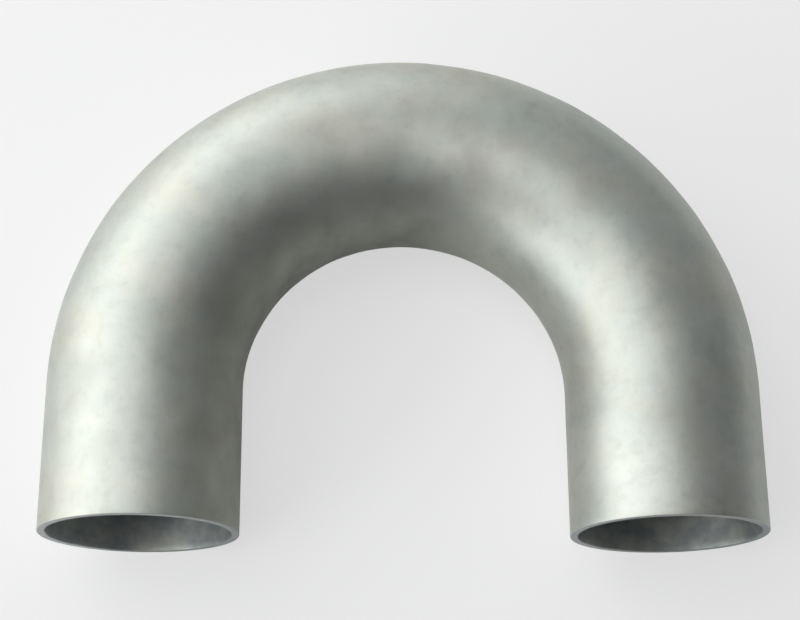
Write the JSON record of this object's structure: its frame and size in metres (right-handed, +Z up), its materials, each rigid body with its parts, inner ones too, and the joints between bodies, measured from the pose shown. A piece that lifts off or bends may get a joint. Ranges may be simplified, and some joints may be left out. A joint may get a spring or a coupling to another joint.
{
  "type": "butt weld return bend",
  "caption": "Butt weld return bend: a round steel pipe turned through a half circle, with straight legs and plain square-cut ends, blasted to a matte grey.",
  "frame": {"origin": "on the floor, at the middle of the bounding box's footprint, with the bend lying on its side", "axes": "+X across the two legs, +Y along the legs from the open ends to the crown of the bend, +Z up, square to the plane of the bend"},
  "size_m": [0.419, 0.2946, 0.1143],
  "materials": {
    "blasted_steel": "matte, bead-blasted and pickled, no seam and no marking"
  },
  "bodies": {
    "root": {"return_bend": "blasted_steel"}
  },
  "joints": []
}
